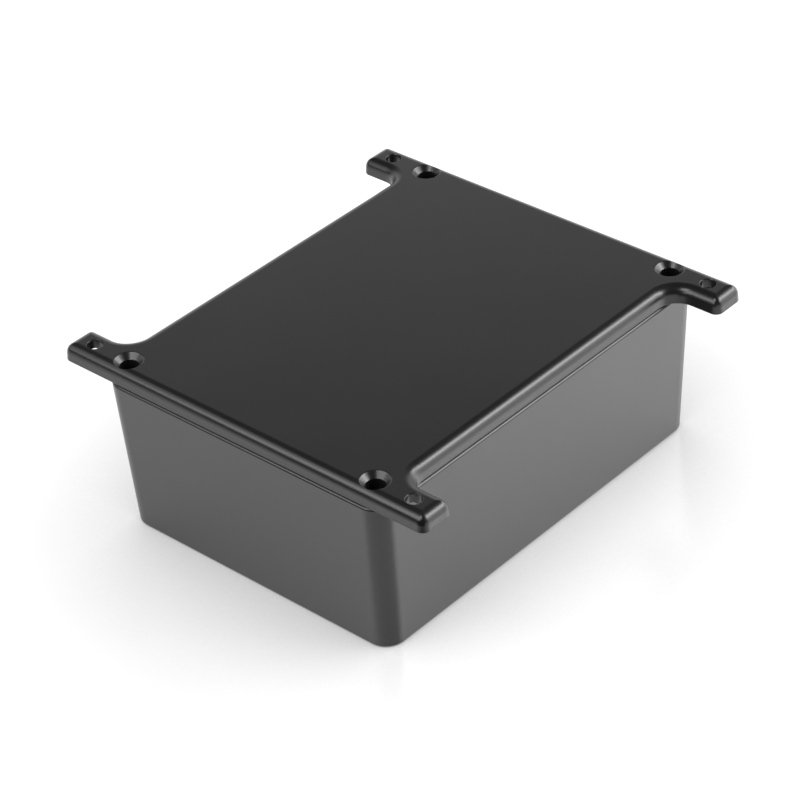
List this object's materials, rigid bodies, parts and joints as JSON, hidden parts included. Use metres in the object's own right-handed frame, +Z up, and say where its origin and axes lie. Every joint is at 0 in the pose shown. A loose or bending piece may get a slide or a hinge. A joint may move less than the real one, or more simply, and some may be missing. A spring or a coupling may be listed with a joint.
{
  "type": "die-cast enclosure",
  "caption": "Die-cast aluminium enclosure: a drafted rectangular box closed by a flat lid with countersunk screw holes and mounting ears at its corners, in satin black paint.",
  "frame": {"origin": "centre of the box's underside, with the lid on top", "axes": "+X along the ears, +Y along the long sides, +Z up from the underside to the lid"},
  "size_m": [0.1088, 0.111, 0.0442],
  "materials": {
    "black_paint": "satin black paint on die-cast aluminium"
  },
  "bodies": {
    "root": {"box": "black_paint", "lid": "black_paint"}
  },
  "joints": []
}
